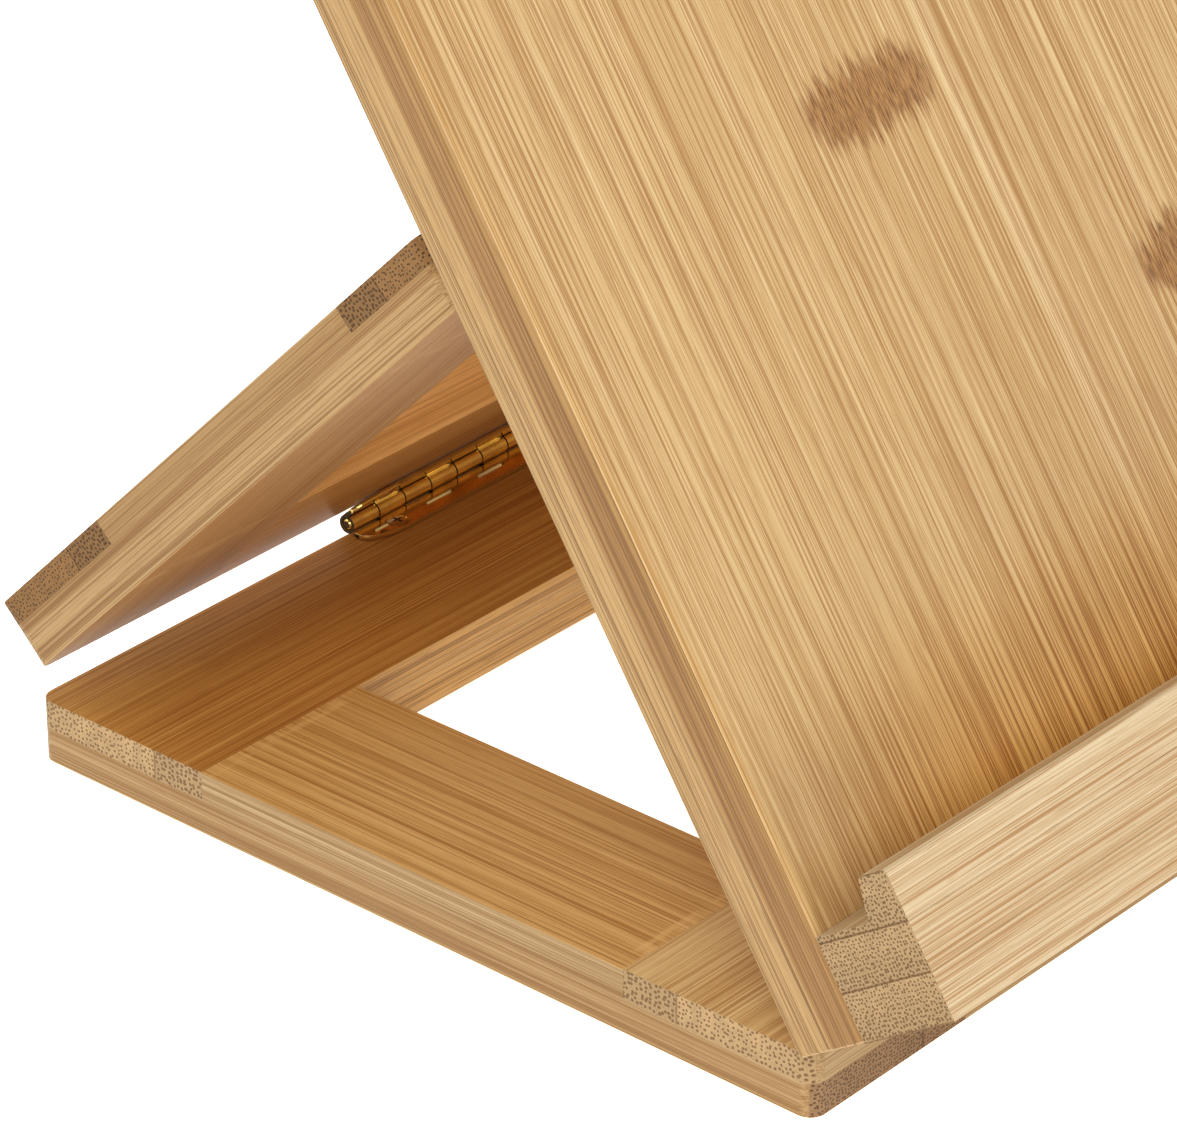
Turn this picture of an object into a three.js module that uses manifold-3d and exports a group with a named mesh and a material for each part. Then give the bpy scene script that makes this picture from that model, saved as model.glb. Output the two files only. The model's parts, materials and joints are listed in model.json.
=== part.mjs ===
// Folding book display stand in laminated bamboo, with two brass strip hinges.
// A flat base frame lies on the table. A support frame is hinged to its rear edge and leans forward.
// A reading board with a book ledge is hinged near its front edge and leans back on the support.
// Millimetres. +X runs across the stand, +Y from the reader to the back, +Z up.
import * as THREE from 'three';
import { mergeVertices } from 'three/addons/utils/BufferGeometryUtils.js';
import Module from 'manifold-3d';

const wasm = await Module();
wasm.setup();

// Overall sizes.
const BOARD_WIDTH = 322;
const BOARD_LENGTH = 240;
const BOARD_THICKNESS = 15;
const BOARD_EDGE_RADIUS = 2;
const BOARD_OVERHANG = 2.7;
const FRAME_WIDTH = BOARD_WIDTH - 2 * BOARD_OVERHANG;
const BASE_DEPTH = 172;
const BASE_THICKNESS = 12;
const SUPPORT_LENGTH = 142.5;
const SUPPORT_THICKNESS = 13;

// Half-lapped frames. A lap level is the height of the seam above the face on which the stiles show.
const STILE_WIDTH = 39;
const BASE_RAIL_WIDTH = 39;
const BASE_LAP_LEVEL = 6.5;
const SUPPORT_BOTTOM_RAIL_WIDTH = 36;
const SUPPORT_TOP_RAIL_WIDTH = 25.5;
const SUPPORT_LAP_LEVEL = 8.3;
const FRAME_CORNER_RADIUS = 3;
const GLUE_LINE = 0.2;

// Reading position, in degrees: how steeply the board and the support rise from the table.
const BOARD_ANGLE = 56.45;
const SUPPORT_ANGLE = 45.66;

// Strip hinges. Each pin lies PIN_HEIGHT clear of the wood on both sides.
const PIN_HEIGHT = 2;
const PIN_Z = BASE_THICKNESS + PIN_HEIGHT;
const FRONT_PIN_Y = 3.85;
const REAR_PIN_Y = BASE_DEPTH;
const PIN_RADIUS = 1;
const PIN_BORE_RADIUS = 1.25;
const KNUCKLE_RADIUS = 1.8;
const KNUCKLE_COUNT = 23;
const KNUCKLE_PITCH = 7;
const KNUCKLE_CLEARANCE = 0.3;
const LEAF_REACH = 7.1;
const LEAF_THICKNESS = 0.9;
const LEAF_END_LENGTH = 10;
const LEAF_END_DEPTH = 4;
const HINGE_LENGTH = KNUCKLE_COUNT * KNUCKLE_PITCH;

// How far the hinged ends of the board and the support reach past their pins.
const BOARD_FOOT = 2.7;
const SUPPORT_FOOT = 2.7;

// Countersunk screws, four along each leaf.
const SCREW_X = [-72, -24, 24, 72];
const SCREW_FROM_PIN = 4.6;
const SCREW_HEAD_RADIUS = 2;
const SCREW_HEAD_DEPTH = 1;
const SCREW_SHANK_RADIUS = 0.95;
const SCREW_LENGTH = 8;
const SCREW_TIP_LENGTH = 1.5;
const SCREW_TIP_RADIUS = 0.3;
const SCREW_CLEARANCE = 0.25;
const SCREW_TOP_Z = LEAF_THICKNESS - KNUCKLE_RADIUS;

// Book ledge: three glued strips, the uppermost moulded into a channel and a lip.
const LEDGE_DEPTH = 20.5;
const LEDGE_HEIGHT = 25.4;
const LEDGE_STRIP_HEIGHT = LEDGE_HEIGHT / 3;
const CHANNEL_FLOOR = 18;
const LIP_FOOT_THICKNESS = 8.1;
const LIP_TOP_THICKNESS = 6;
const LIP_OUTER_RADIUS = 0.8;
const LIP_INNER_RADIUS = 0.7;

// Batten on the board's back. The support's top edge bears against its underside.
const BATTEN_LENGTH = 250;
const BATTEN_WIDTH = 12;
const BATTEN_THICKNESS = 8;
const BATTEN_FROM_PIN = 138.6;
const BATTEN_EDGE_RADIUS = 1.5;

// Facets of round stretches.
const CORNER_SEGMENTS = 4;
const ROUND_SEGMENTS = 12;

const UNIT_X = new THREE.Vector3(1, 0, 0);
const UNIT_Y = new THREE.Vector3(0, 1, 0);
const UNIT_Z = new THREE.Vector3(0, 0, 1);

const boardAngle = THREE.MathUtils.degToRad(BOARD_ANGLE);
const supportAngle = THREE.MathUtils.degToRad(SUPPORT_ANGLE);

function bamboo() {
  return new THREE.MeshStandardMaterial({ color: 0xd8b078, roughness: 0.45, metalness: 0 });
}

function paleBamboo() {
  return new THREE.MeshStandardMaterial({ color: 0xe6c894, roughness: 0.45, metalness: 0 });
}

function brass() {
  return new THREE.MeshStandardMaterial({ color: 0xc79233, roughness: 0.2, metalness: 1 });
}

function named(name, geometry, material) {
  const mesh = new THREE.Mesh(geometry, material);
  mesh.name = name;
  return mesh;
}

function toSolid(geometry) {
  const bare = geometry.clone();
  bare.deleteAttribute('normal');
  bare.deleteAttribute('uv');
  const merged = mergeVertices(bare);
  return new wasm.Manifold(new wasm.Mesh({
    numProp: 3,
    vertProperties: new Float32Array(merged.attributes.position.array),
    triVerts: new Uint32Array(merged.index.array),
  }));
}

function toGeometry(solid) {
  const { vertProperties, triVerts } = solid.getMesh();
  const geometry = new THREE.BufferGeometry();
  geometry.setAttribute('position', new THREE.BufferAttribute(vertProperties, 3));
  geometry.setIndex(new THREE.BufferAttribute(triVerts, 1));
  geometry.computeVertexNormals();
  return geometry;
}

// Closed outline through corners [a, b, radius]. A corner that has a radius is eased by a curve.
function outline(corners) {
  const points = corners.map(([a, b]) => new THREE.Vector2(a, b));
  const shape = new THREE.Shape();
  points.forEach((corner, index) => {
    const radius = corners[index][2] ?? 0;
    const before = points.at(index - 1);
    const after = points[(index + 1) % points.length];
    const entry = before.clone().sub(corner).setLength(radius).add(corner);
    const exit = after.clone().sub(corner).setLength(radius).add(corner);
    if (index === 0) shape.moveTo(entry.x, entry.y);
    else shape.lineTo(entry.x, entry.y);
    if (radius > 0) shape.quadraticCurveTo(corner.x, corner.y, exit.x, exit.y);
  });
  return shape;
}

function extrude(shape, depth) {
  return new THREE.ExtrudeGeometry(shape, { depth, bevelEnabled: false, curveSegments: CORNER_SEGMENTS });
}

// Sweeps an outline drawn in (y, z) across the stand, from one x to another.
function alongX(shape, fromX, toX) {
  const turn = new THREE.Matrix4().makeBasis(UNIT_Y, UNIT_Z, UNIT_X);
  return extrude(shape, toX - fromX).applyMatrix4(turn).translate(fromX, 0, 0);
}

// Sweeps an outline drawn in (z, x) backwards, from one y to another.
function alongY(shape, fromY, toY) {
  const turn = new THREE.Matrix4().makeBasis(UNIT_Z, UNIT_X, UNIT_Y);
  return extrude(shape, toY - fromY).applyMatrix4(turn).translate(0, fromY, 0);
}

// Sweeps a plan outline upwards, from one z to another.
function alongZ(shape, fromZ, toZ) {
  return extrude(shape, toZ - fromZ).translate(0, 0, fromZ);
}

function rod(radius, length) {
  return new THREE.CylinderGeometry(radius, radius, length, ROUND_SEGMENTS).rotateZ(Math.PI / 2);
}

// Turned body about a vertical axis, from a profile of [radius, z] that starts and ends on the axis.
function turned(profile) {
  const points = profile.map(([radius, z]) => new THREE.Vector2(radius, z));
  return new THREE.LatheGeometry(points, ROUND_SEGMENTS).rotateX(Math.PI / 2);
}

// Half-lapped frame lying flat, with its stile face at fromZ. The rails cross over the stiles.
function lappedFrame({ fromY, toY, frontRail, rearRail, fromZ, thickness, lapLevel }) {
  const half = FRAME_WIDTH / 2;
  const inner = half - STILE_WIDTH;
  const topZ = fromZ + thickness;
  const lapZ = fromZ + lapLevel;
  const stileFront = fromY + frontRail + GLUE_LINE;
  const stileRear = toY - rearRail - GLUE_LINE;
  const tongueZ = lapZ - GLUE_LINE;
  const plan = outline([
    [-half, fromY, FRAME_CORNER_RADIUS],
    [half, fromY, FRAME_CORNER_RADIUS],
    [half, toY, FRAME_CORNER_RADIUS],
    [-half, toY, FRAME_CORNER_RADIUS],
  ]);
  const railProfile = outline([
    [fromZ, -inner], [fromZ, inner], [lapZ, inner], [lapZ, half],
    [topZ, half], [topZ, -half], [lapZ, -half], [lapZ, -inner],
  ]);
  const stileProfile = outline([
    [fromY, fromZ], [toY, fromZ], [toY, tongueZ], [stileRear, tongueZ],
    [stileRear, topZ], [stileFront, topZ], [stileFront, tongueZ], [fromY, tongueZ],
  ]);
  const blank = toSolid(alongZ(plan, fromZ, topZ));
  const member = (geometry) => toSolid(geometry).intersect(blank);
  return {
    frontRail: member(alongY(railProfile, fromY, fromY + frontRail)),
    rearRail: member(alongY(railProfile, toY - rearRail, toY)),
    leftStile: member(alongX(stileProfile, -half, -inner - GLUE_LINE)),
    rightStile: member(alongX(stileProfile, inner + GLUE_LINE, half)),
  };
}

// Pilot holes for the screws of one leaf, through the wood from one z to another.
function drilled(solid, y, fromZ, toZ) {
  const radius = SCREW_SHANK_RADIUS + SCREW_CLEARANCE;
  return SCREW_X.reduce((wood, x) => {
    const hole = turned([[0, fromZ], [radius, fromZ], [radius, toZ], [0, toZ]]).translate(x, y, 0);
    return wood.subtract(toSolid(hole));
  }, solid);
}

// Plan of a leaf's plate, whose far corners are quarter ellipses.
function platePlan(halfLength, nearY) {
  const endX = halfLength - LEAF_END_LENGTH;
  const endY = LEAF_REACH - LEAF_END_DEPTH;
  const plan = new THREE.Shape();
  plan.moveTo(-halfLength, nearY);
  plan.lineTo(halfLength, nearY);
  plan.absellipse(endX, endY, LEAF_END_LENGTH, LEAF_END_DEPTH, 0, Math.PI / 2);
  plan.absellipse(-endX, endY, LEAF_END_LENGTH, LEAF_END_DEPTH, Math.PI / 2, Math.PI);
  return plan;
}

// Hinge leaf about a pin on the x axis, lying below the pin and reaching towards +y.
// The leaf that has the end knuckles takes the even places.
function leafSolid(hasEndKnuckles) {
  const half = HINGE_LENGTH / 2;
  const underZ = -KNUCKLE_RADIUS;
  const plateY = KNUCKLE_RADIUS + KNUCKLE_CLEARANCE;
  const tongue = outline([
    [0, underZ], [plateY + LEAF_THICKNESS, underZ],
    [plateY + LEAF_THICKNESS, SCREW_TOP_Z], [0, SCREW_TOP_Z],
  ]);
  let leaf = toSolid(alongZ(platePlan(half, plateY), underZ, SCREW_TOP_Z));
  for (let place = hasEndKnuckles ? 0 : 1; place < KNUCKLE_COUNT; place += 2) {
    const fromX = -half + place * KNUCKLE_PITCH + KNUCKLE_CLEARANCE / 2;
    const toX = fromX + KNUCKLE_PITCH - KNUCKLE_CLEARANCE;
    const barrel = rod(KNUCKLE_RADIUS, toX - fromX).translate((fromX + toX) / 2, 0, 0);
    leaf = leaf.add(toSolid(barrel)).add(toSolid(alongX(tongue, fromX, toX)));
  }
  leaf = leaf.subtract(toSolid(rod(PIN_BORE_RADIUS, HINGE_LENGTH + PIN_RADIUS)));
  const holeRadius = SCREW_SHANK_RADIUS + SCREW_CLEARANCE;
  const sinkRadius = SCREW_HEAD_RADIUS + SCREW_CLEARANCE;
  const sinkZ = SCREW_TOP_Z - SCREW_HEAD_DEPTH;
  const sink = turned([
    [0, sinkZ - LEAF_THICKNESS], [holeRadius, sinkZ - LEAF_THICKNESS],
    [holeRadius, sinkZ], [sinkRadius, SCREW_TOP_Z], [sinkRadius, 0], [0, 0],
  ]);
  return SCREW_X.reduce((plate, x) => {
    return plate.subtract(toSolid(sink.clone().translate(x, SCREW_FROM_PIN, 0)));
  }, leaf);
}

function screwGeometry() {
  const tipZ = SCREW_TOP_Z - SCREW_LENGTH;
  return turned([
    [0, tipZ], [SCREW_TIP_RADIUS, tipZ], [SCREW_SHANK_RADIUS, tipZ + SCREW_TIP_LENGTH],
    [SCREW_SHANK_RADIUS, SCREW_TOP_Z - SCREW_HEAD_DEPTH], [SCREW_HEAD_RADIUS, SCREW_TOP_Z],
    [0, SCREW_TOP_Z],
  ]);
}

// A leaf with its screws, drawn as leafSolid says.
function leafWithScrews(prefix, hasEndKnuckles) {
  const group = new THREE.Group();
  group.add(named(`${prefix}_leaf`, toGeometry(leafSolid(hasEndKnuckles)), brass()));
  SCREW_X.forEach((x, index) => {
    const screw = named(`${prefix}_screw_${index + 1}`, toGeometry(toSolid(screwGeometry())), brass());
    screw.position.set(x, SCREW_FROM_PIN, 0);
    group.add(screw);
  });
  return group;
}

function hingePin(name) {
  return named(name, rod(PIN_RADIUS, HINGE_LENGTH), brass());
}

// Base frame on the table, with the base leaves and the pins of both hinges.
function baseGroup() {
  const pilotEndZ = PIN_Z + SCREW_TOP_Z - SCREW_LENGTH - SCREW_CLEARANCE;
  const frame = lappedFrame({
    fromY: 0, toY: BASE_DEPTH, frontRail: BASE_RAIL_WIDTH, rearRail: BASE_RAIL_WIDTH,
    fromZ: 0, thickness: BASE_THICKNESS, lapLevel: BASE_LAP_LEVEL,
  });
  const frontRail = drilled(frame.frontRail, FRONT_PIN_Y + SCREW_FROM_PIN, pilotEndZ, PIN_Z);
  const rearRail = drilled(frame.rearRail, REAR_PIN_Y - SCREW_FROM_PIN, pilotEndZ, PIN_Z);
  const group = new THREE.Group();
  group.add(
    named('base_front_rail', toGeometry(frontRail), bamboo()),
    named('base_rear_rail', toGeometry(rearRail), bamboo()),
    named('base_left_stile', toGeometry(frame.leftStile), bamboo()),
    named('base_right_stile', toGeometry(frame.rightStile), bamboo()),
  );
  const frontLeaf = leafWithScrews('front_hinge_base', false);
  frontLeaf.position.set(0, FRONT_PIN_Y, PIN_Z);
  const rearLeaf = leafWithScrews('rear_hinge_base', false);
  rearLeaf.position.set(0, REAR_PIN_Y, PIN_Z);
  rearLeaf.rotation.z = Math.PI;
  const frontPin = hingePin('front_hinge_pin');
  frontPin.position.copy(frontLeaf.position);
  const rearPin = hingePin('rear_hinge_pin');
  rearPin.position.copy(rearLeaf.position);
  group.add(frontLeaf, rearLeaf, frontPin, rearPin);
  return group;
}

// Support frame, drawn folded flat over the base with the rear pin at its origin, then opened.
function supportGroup() {
  const frame = lappedFrame({
    fromY: -SUPPORT_FOOT - SUPPORT_LENGTH, toY: -SUPPORT_FOOT,
    frontRail: SUPPORT_TOP_RAIL_WIDTH, rearRail: SUPPORT_BOTTOM_RAIL_WIDTH,
    fromZ: PIN_HEIGHT, thickness: SUPPORT_THICKNESS, lapLevel: SUPPORT_LAP_LEVEL,
  });
  const pilotEndZ = SCREW_LENGTH - SCREW_TOP_Z + SCREW_CLEARANCE;
  const bottomRail = drilled(frame.rearRail, -SCREW_FROM_PIN, 0, pilotEndZ);
  const leaf = leafWithScrews('rear_hinge_support', true);
  leaf.rotation.x = Math.PI;
  const group = new THREE.Group();
  group.add(
    named('support_bottom_rail', toGeometry(bottomRail), bamboo()),
    named('support_top_rail', toGeometry(frame.frontRail), bamboo()),
    named('support_left_stile', toGeometry(frame.leftStile), bamboo()),
    named('support_right_stile', toGeometry(frame.rightStile), bamboo()),
    leaf,
  );
  group.position.set(0, REAR_PIN_Y, PIN_Z);
  group.rotation.x = -supportAngle;
  return group;
}

// Book ledge on the board's front face: strips piled up the board, the last with channel and lip.
function ledgeMeshes() {
  const half = BOARD_WIDTH / 2;
  const backZ = PIN_HEIGHT + BOARD_THICKNESS + GLUE_LINE;
  const frontZ = PIN_HEIGHT + BOARD_THICKNESS + LEDGE_DEPTH;
  const stripY = (place) => -BOARD_FOOT + place * LEDGE_STRIP_HEIGHT;
  const plainStrip = (place) => outline([
    [stripY(place), backZ], [stripY(place + 1) - GLUE_LINE, backZ],
    [stripY(place + 1) - GLUE_LINE, frontZ], [stripY(place), frontZ],
  ]);
  const floorY = CHANNEL_FLOOR - BOARD_FOOT;
  const topY = LEDGE_HEIGHT - BOARD_FOOT;
  const lipStrip = outline([
    [stripY(2), backZ], [floorY, backZ], [floorY, frontZ - LIP_FOOT_THICKNESS],
    [topY, frontZ - LIP_TOP_THICKNESS, LIP_INNER_RADIUS], [topY, frontZ, LIP_OUTER_RADIUS],
    [stripY(2), frontZ],
  ]);
  return [
    named('ledge_lower_strip', alongX(plainStrip(0), -half, half), paleBamboo()),
    named('ledge_middle_strip', alongX(plainStrip(1), -half, half), paleBamboo()),
    named('ledge_lip_strip', alongX(lipStrip, -half, half), paleBamboo()),
  ];
}

// Reading board with its ledge and batten, drawn flat with the front pin at its origin, then raised.
function readingGroup() {
  const half = BOARD_WIDTH / 2;
  const frontZ = PIN_HEIGHT + BOARD_THICKNESS;
  const section = outline([
    [PIN_HEIGHT, -half], [frontZ, -half, BOARD_EDGE_RADIUS],
    [frontZ, half, BOARD_EDGE_RADIUS], [PIN_HEIGHT, half],
  ]);
  const pilotEndZ = SCREW_LENGTH - SCREW_TOP_Z + SCREW_CLEARANCE;
  const blank = toSolid(alongY(section, -BOARD_FOOT, BOARD_LENGTH - BOARD_FOOT));
  const board = drilled(blank, SCREW_FROM_PIN, 0, pilotEndZ);
  const battenSection = outline([
    [BATTEN_FROM_PIN, PIN_HEIGHT - BATTEN_THICKNESS, BATTEN_EDGE_RADIUS],
    [BATTEN_FROM_PIN + BATTEN_WIDTH, PIN_HEIGHT - BATTEN_THICKNESS, BATTEN_EDGE_RADIUS],
    [BATTEN_FROM_PIN + BATTEN_WIDTH, PIN_HEIGHT - GLUE_LINE],
    [BATTEN_FROM_PIN, PIN_HEIGHT - GLUE_LINE],
  ]);
  const leaf = leafWithScrews('front_hinge_board', true);
  leaf.rotation.y = Math.PI;
  const group = new THREE.Group();
  group.add(
    named('reading_board', toGeometry(board), bamboo()),
    named('stop_batten', alongX(battenSection, -BATTEN_LENGTH / 2, BATTEN_LENGTH / 2), paleBamboo()),
    ...ledgeMeshes(),
    leaf,
  );
  group.position.set(0, FRONT_PIN_Y, PIN_Z);
  group.rotation.x = boardAngle;
  return group;
}

// The origin is on the table, under the middle of the stand as it is set up for reading.
function middleY() {
  const ledgeFace = PIN_HEIGHT + BOARD_THICKNESS + LEDGE_DEPTH;
  const supportBack = PIN_HEIGHT + SUPPORT_THICKNESS;
  const foremost = FRONT_PIN_Y - BOARD_FOOT * Math.cos(boardAngle) - ledgeFace * Math.sin(boardAngle);
  const rearmost = REAR_PIN_Y - SUPPORT_FOOT * Math.cos(supportAngle) + supportBack * Math.sin(supportAngle);
  return (foremost + rearmost) / 2;
}

const group = new THREE.Group();
group.add(baseGroup(), supportGroup(), readingGroup());
group.position.y = -middleY();

export default group;
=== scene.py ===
# Looks of the folding bamboo book stand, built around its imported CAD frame.
# Every piece is drawn flat, in the plane of the body that carries it, and then set up with that body.
# Metres, unless a comment says millimetres. Each wooden mesh holds its place in the grain as an attribute.
import json
import math

import bmesh
import bpy
import numpy as np
from mathutils import Matrix, Vector


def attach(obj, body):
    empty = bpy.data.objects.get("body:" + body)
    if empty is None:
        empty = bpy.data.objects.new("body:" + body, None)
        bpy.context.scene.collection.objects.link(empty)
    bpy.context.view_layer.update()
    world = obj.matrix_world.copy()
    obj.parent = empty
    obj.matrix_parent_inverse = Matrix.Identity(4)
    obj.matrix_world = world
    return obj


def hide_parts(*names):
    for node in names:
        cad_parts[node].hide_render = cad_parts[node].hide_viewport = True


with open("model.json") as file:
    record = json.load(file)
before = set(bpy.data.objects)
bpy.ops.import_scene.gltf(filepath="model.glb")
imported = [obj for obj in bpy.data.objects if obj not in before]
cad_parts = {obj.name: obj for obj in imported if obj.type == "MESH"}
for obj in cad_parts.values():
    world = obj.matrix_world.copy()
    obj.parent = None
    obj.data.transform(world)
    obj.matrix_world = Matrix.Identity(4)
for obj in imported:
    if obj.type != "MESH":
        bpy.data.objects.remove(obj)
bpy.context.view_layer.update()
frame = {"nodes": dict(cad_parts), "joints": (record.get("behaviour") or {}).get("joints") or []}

MM = 0.001

# How steeply the board and the support rise from the table, as the CAD model sets them.
BOARD_RISE = math.radians(56.45)
SUPPORT_RISE = math.radians(45.66)
PINS = {joint["child"]: Vector(joint["pos_m"]) for joint in frame["joints"]}
FLAT = {
    "base": Matrix.Identity(4),
    "support": Matrix.Translation(PINS["support"]) @ Matrix.Rotation(-SUPPORT_RISE, 4, "X"),
    "reading_board": Matrix.Translation(PINS["reading_board"]) @ Matrix.Rotation(BOARD_RISE, 4, "X"),
}

# Wood working. SEAM_GROWTH closes the glue lines, which are 0.2 mm wide in the CAD model.
SEAM_GROWTH = 0.09 * MM
FRAME_CORNER = 3.0 * MM
FRAME_EASE = 1.5 * MM
BOARD_CORNER = 2.0 * MM
BOARD_EASE = 0.6 * MM
LEDGE_EASE = 0.10 * MM
BATTEN_EASE = 0.35 * MM
CORNER_STEPS = 5
EASE_SEGMENTS = 3
SHARP_ANGLE = math.radians(50)

# Shading. A face narrower than BROAD is part of a rounded edge, unless it is square to an axis. The next two
# say how far a face must point along the grain for end grain, or across it for edge grain.
BROAD = 1.2 * MM
SQUARE_TO_AXIS = 0.9999
END_GRAIN_FROM = 0.6
EDGE_GRAIN_FROM = 0.75
FIBRE_DEPTH = 0.1 * MM

# Hinges, in millimetres.
KNUCKLE_COUNT = 23
KNUCKLE_PITCH = 7.0
KNUCKLE_GAP = 0.3
KNUCKLE_RADIUS = 1.8
KNUCKLE_BORE = 1.22
KNUCKLE_TAIL = 3.0
LEAF_THICKNESS = 0.9
LEAF_REACH = 7.1
LEAF_END_LENGTH = 10.0
LEAF_END_DEPTH = 4.0
LEAF_EASE = 0.18
LEAF_TOP = LEAF_THICKNESS - KNUCKLE_RADIUS
HINGE_HALF = KNUCKLE_COUNT * KNUCKLE_PITCH / 2
PIN_RADIUS = 0.98
PIN_EASE = 0.28
SCREW_PLACES = (-72.0, -24.0, 24.0, 72.0)
SCREW_FROM_PIN = 4.6
SCREW_LENGTH = 8.0
SCREW_RADIUS = 0.9
HEAD_RADIUS = 1.95
HEAD_DEPTH = 1.1
HEAD_DOME = 0.21
RECESS_LENGTH = 2.2
RECESS_WIDTH = 0.42
RECESS_DEPTH = 0.55
SINK_RADIUS = 2.15
SINK_DEPTH = 0.95
HOLE_RADIUS = 1.2
TURNED_STEPS = 32

# The glued strips of each kind of piece: their width, and how far a seam lies from where across is 0. Then
# the board's bamboo nodes, by how far they lie from its middle and its pin. All in millimetres.
BOARD_STRIPS = (32.0, 57.8)
FRAME_STRIPS = (28.6, 17.6)
LEDGE_STRIPS = (8.467, 2.7)
KNOT_PLACES = ((-74, 127), (-16, 81), (-138, 208), (22, 176), (54, 48), (86, 142), (118, 214), (147, 96))
KNOT_HALF_WIDTH = 15.5
KNOT_HALF_HEIGHT = 6.0


# ---------------------------------------------------------------- meshes

def flat_points(node, body):
    """The CAD node's corner points, in the flat plane of its body."""
    lay_flat = FLAT[body].inverted()
    return [lay_flat @ vertex.co for vertex in frame["nodes"][node].data.vertices]


def flat_box(node, body):
    """The lowest and the highest corner of the CAD node, in the same plane."""
    points = np.array(flat_points(node, body))
    return Vector(points.min(0)), Vector(points.max(0))


def mesh_object(name, shape):
    """An object that holds this bmesh, which is freed."""
    mesh = bpy.data.meshes.new(name)
    bmesh.ops.recalc_face_normals(shape, faces=shape.faces)
    shape.to_mesh(mesh)
    shape.free()
    piece = bpy.data.objects.new(name, mesh)
    bpy.context.scene.collection.objects.link(piece)
    return piece


def extruded(points, axis, start, end):
    """A prism: 2D points swept along x (points in y, z), y (points in x, z) or z (points in x, y)."""
    def place(a, b, along):
        return {"x": (along, a, b), "y": (a, along, b), "z": (a, b, along)}[axis]

    shape = bmesh.new()
    near = [shape.verts.new(place(a, b, start)) for a, b in points]
    far = [shape.verts.new(place(a, b, end)) for a, b in points]
    shape.faces.new(near)
    shape.faces.new(reversed(far))
    for index in range(len(points)):
        after = (index + 1) % len(points)
        shape.faces.new((near[index], far[index], far[after], near[after]))
    bmesh.ops.recalc_face_normals(shape, faces=shape.faces)
    return shape


def arc(centre, radius, start, end, steps):
    """Points on a circle from one angle to another, in degrees."""
    angles = [math.radians(start + (end - start) * step / steps) for step in range(steps + 1)]
    return [(centre[0] + radius * math.cos(a), centre[1] + radius * math.sin(a)) for a in angles]


def rounded_rectangle(low, high, radius):
    """Points round a rectangle between two corners, with its own corners rounded."""
    inner_low = (low[0] + radius, low[1] + radius)
    inner_high = (high[0] - radius, high[1] - radius)
    return (
        arc((inner_high[0], inner_low[1]), radius, -90, 0, CORNER_STEPS)
        + arc(inner_high, radius, 0, 90, CORNER_STEPS)
        + arc((inner_low[0], inner_high[1]), radius, 90, 180, CORNER_STEPS)
        + arc(inner_low, radius, 180, 270, CORNER_STEPS)
    )


def ease(shape, offset, wanted, segments=EASE_SEGMENTS):
    """Rounds over the sharp edges that wanted(edge) picks."""
    sharp = [
        edge for edge in shape.edges
        if len(edge.link_faces) == 2 and edge.calc_face_angle() > SHARP_ANGLE and wanted(edge)
    ]
    bmesh.ops.bevel(
        shape, geom=sharp, offset=offset, segments=segments, profile=0.5, affect="EDGES", clamp_overlap=True,
    )


def is_level(edge):
    """Whether an edge lies in the flat plane."""
    return abs(edge.verts[0].co.z - edge.verts[1].co.z) < 1e-7


def ring(low, high, opening_low, opening_high):
    """A flat frame blank with rounded corners and an opening, its long edges rounded over."""
    shape = bmesh.new()
    loops = (
        rounded_rectangle(low, high, FRAME_CORNER),
        [(opening_low[0], opening_low[1]), (opening_high[0], opening_low[1]),
         (opening_high[0], opening_high[1]), (opening_low[0], opening_high[1])],
    )
    edges = []
    for loop in loops:
        corners = [shape.verts.new((a, b, low[2])) for a, b in loop]
        for index, corner in enumerate(corners):
            edges.append(shape.edges.new((corner, corners[(index + 1) % len(corners)])))
    bmesh.ops.triangle_fill(shape, edges=edges, use_beauty=True, use_dissolve=False)
    grown = bmesh.ops.extrude_face_region(shape, geom=list(shape.faces))
    raised = [item for item in grown["geom"] if isinstance(item, bmesh.types.BMVert)]
    bmesh.ops.translate(shape, verts=raised, vec=(0, 0, high[2] - low[2]))
    bmesh.ops.recalc_face_normals(shape, faces=shape.faces)
    ease(shape, FRAME_EASE, is_level)
    return shape


def grown_node(node, body, distance):
    """The CAD node laid flat, with every face moved outwards by a distance."""
    shape = bmesh.new()
    shape.from_mesh(frame["nodes"][node].data)
    shape.transform(FLAT[body].inverted())
    bmesh.ops.remove_doubles(shape, verts=shape.verts, dist=1e-6)
    bmesh.ops.recalc_face_normals(shape, faces=shape.faces)
    moves = []
    for vertex in shape.verts:
        normals = {tuple(round(value, 3) for value in face.normal) for face in vertex.link_faces}
        rows = np.array(sorted(normals))
        moves.append(np.linalg.lstsq(rows, np.full(len(rows), distance), rcond=None)[0])
    for vertex, move in zip(shape.verts, moves):
        vertex.co += Vector(move)
    return shape


def boolean(piece, tool, operation):
    """Joins or cuts piece with tool, which is then deleted."""
    modifier = piece.modifiers.new("cut", "BOOLEAN")
    modifier.operation = operation
    modifier.solver = "EXACT"
    modifier.object = tool
    graph = bpy.context.evaluated_depsgraph_get()
    result = bpy.data.meshes.new_from_object(piece.evaluated_get(graph))
    piece.modifiers.clear()
    spare = piece.data
    piece.data = result
    bpy.data.meshes.remove(spare)
    bpy.data.objects.remove(tool)


def is_broad(face):
    """Whether a face is part of a flat side, rather than of a rounded edge."""
    square = max(abs(value) for value in face.normal) > SQUARE_TO_AXIS
    return square or face.calc_area() > BROAD * max(edge.calc_length() for edge in face.edges)


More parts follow.
